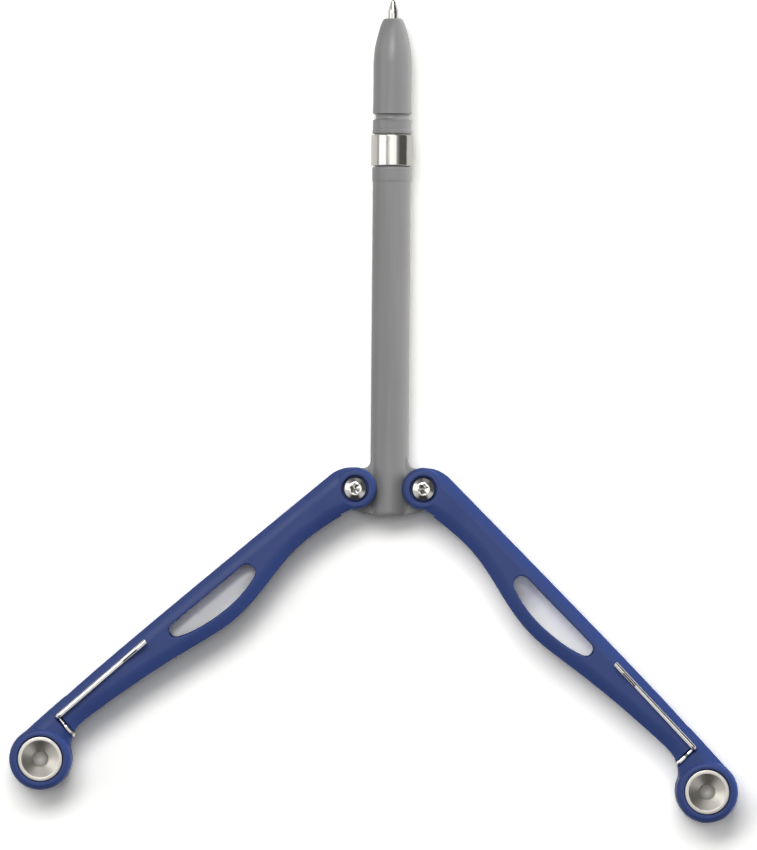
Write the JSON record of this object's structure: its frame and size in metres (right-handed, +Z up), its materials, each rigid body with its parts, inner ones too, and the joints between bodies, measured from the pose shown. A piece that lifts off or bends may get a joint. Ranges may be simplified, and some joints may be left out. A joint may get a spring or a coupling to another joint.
{
  "type": "balisong pen",
  "caption": "Ballpoint pen on a flat tang between channel handles that swing on pivots, each with a window, a wire clip and a dished steel weight at its end.",
  "frame": {"origin": "middle of the pen's footprint as it lies with its handles swung out, on the surface it rests on", "axes": "+Y from the tang to the writing tip, +Z up out of the front face with the clips, +X to the right seen from the front"},
  "size_m": [0.1814, 0.2048, 0.017],
  "materials": {
    "grey_plastic": "satin moulded",
    "blue_plastic": "satin moulded",
    "bright_metal": "bright plated",
    "turned_steel": "turned, with fine tool rings",
    "spring_steel": "bright drawn wire",
    "brass": "plain"
  },
  "bodies": {
    "pen": {"barrel": "grey_plastic", "nose_cone": "grey_plastic", "ferrule": "bright_metal", "refill_tube": "brass", "refill_tip": "bright_metal", "writing_ball": "bright_metal", "refill_spring": "spring_steel", "left_washer_front": "brass", "left_washer_back": "brass", "right_washer_front": "brass", "right_washer_back": "brass"},
    "left_handle_body": {"left_handle": "blue_plastic", "left_pivot_screw": "bright_metal", "left_pivot_nut": "bright_metal", "left_weight_front": "turned_steel", "left_weight_back": "turned_steel"},
    "right_handle_body": {"right_handle": "blue_plastic", "right_pivot_screw": "bright_metal", "right_pivot_nut": "bright_metal", "right_weight_front": "turned_steel", "right_weight_back": "turned_steel"},
    "left_clip_body": {"left_clip": "spring_steel"},
    "right_clip_body": {"right_clip": "spring_steel"}
  },
  "joints": [
    {"name": "left_handle_swing", "type": "hinge", "parent": "pen", "child": "left_handle_body", "pos_m": [-0.00518, -0.01991, 0.00715], "axis": [0, 0, 1], "range_deg": [-131.1, 48.9]},
    {"name": "right_handle_swing", "type": "hinge", "parent": "pen", "child": "right_handle_body", "pos_m": [0.01182, -0.01991, 0.00715], "axis": [0, 0, -1], "range_deg": [-136.4, 43.6]},
    {"name": "left_clip_spring", "type": "hinge", "parent": "left_handle_body", "child": "left_clip_body", "pos_m": [-0.07549, -0.08124, 0.0132], "axis": [0.6574, -0.7536, 0], "range_deg": [0, 5], "stiffness_Nm_per_rad": 0.5, "springref_deg": -1.15},
    {"name": "right_clip_spring", "type": "hinge", "parent": "right_handle_body", "child": "right_clip_body", "pos_m": [0.07616, -0.08747, 0.0132], "axis": [0.7242, 0.6896, 0], "range_deg": [0, 5], "stiffness_Nm_per_rad": 0.5, "springref_deg": -1.15}
  ]
}
